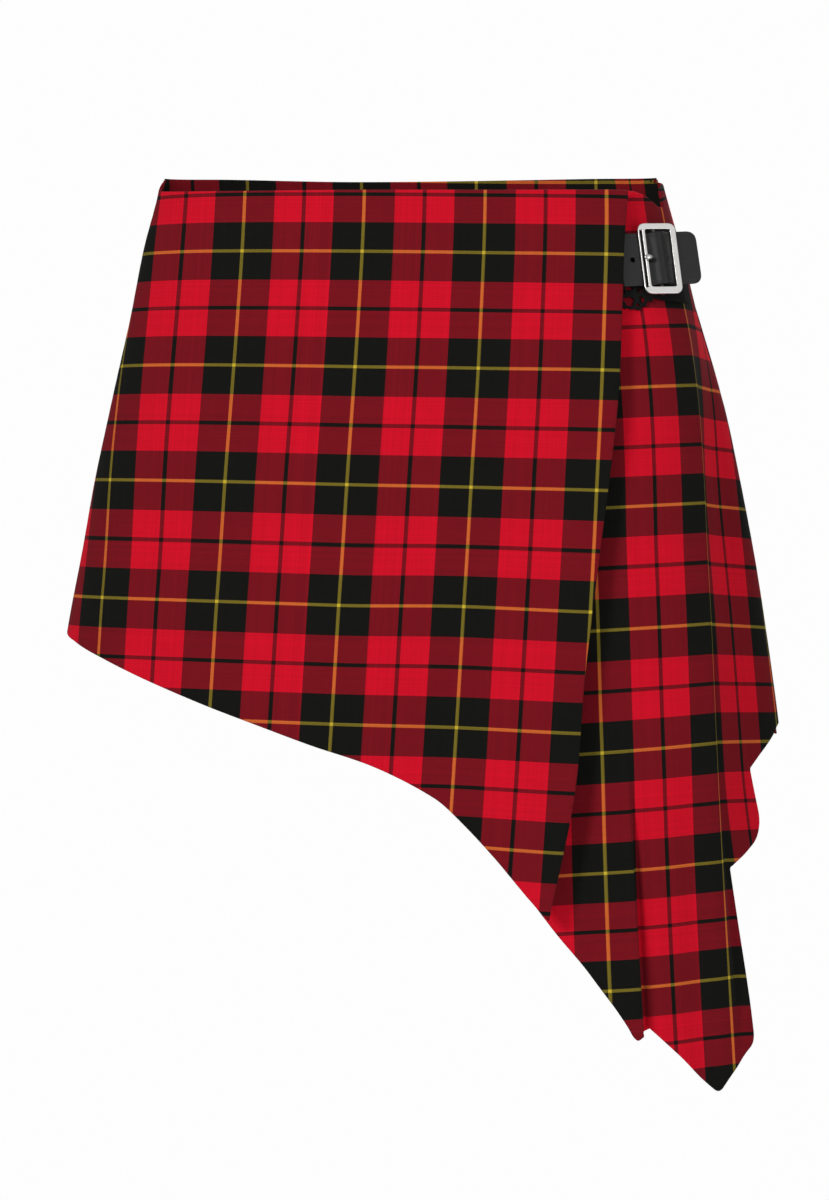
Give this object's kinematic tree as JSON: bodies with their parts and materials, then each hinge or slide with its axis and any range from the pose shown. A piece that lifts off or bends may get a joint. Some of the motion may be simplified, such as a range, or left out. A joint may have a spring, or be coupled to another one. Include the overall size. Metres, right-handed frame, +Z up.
{
  "type": "tartan skirt",
  "caption": "Asymmetric wrap kilt skirt in tartan cloth with a leather strap and buckle at the side, filled out as when worn.",
  "frame": {"origin": "centre of the waist opening, at the height of the front waist edge", "axes": "+Z up along the skirt's length, +Y to the back, +X to the side with the buckle, on the right of the front view"},
  "size_m": [0.4377, 0.2542, 0.5549],
  "materials": {
    "tartan": "matte",
    "leather": "satin",
    "nickel": "polished"
  },
  "bodies": {
    "root": {"front_apron": "tartan", "side_panel": "tartan", "back_panel": "tartan", "buckle_patch": "leather", "strap": "leather", "buckle_frame": "nickel", "buckle_bar": "nickel", "buckle_prong": "nickel"}
  },
  "joints": []
}
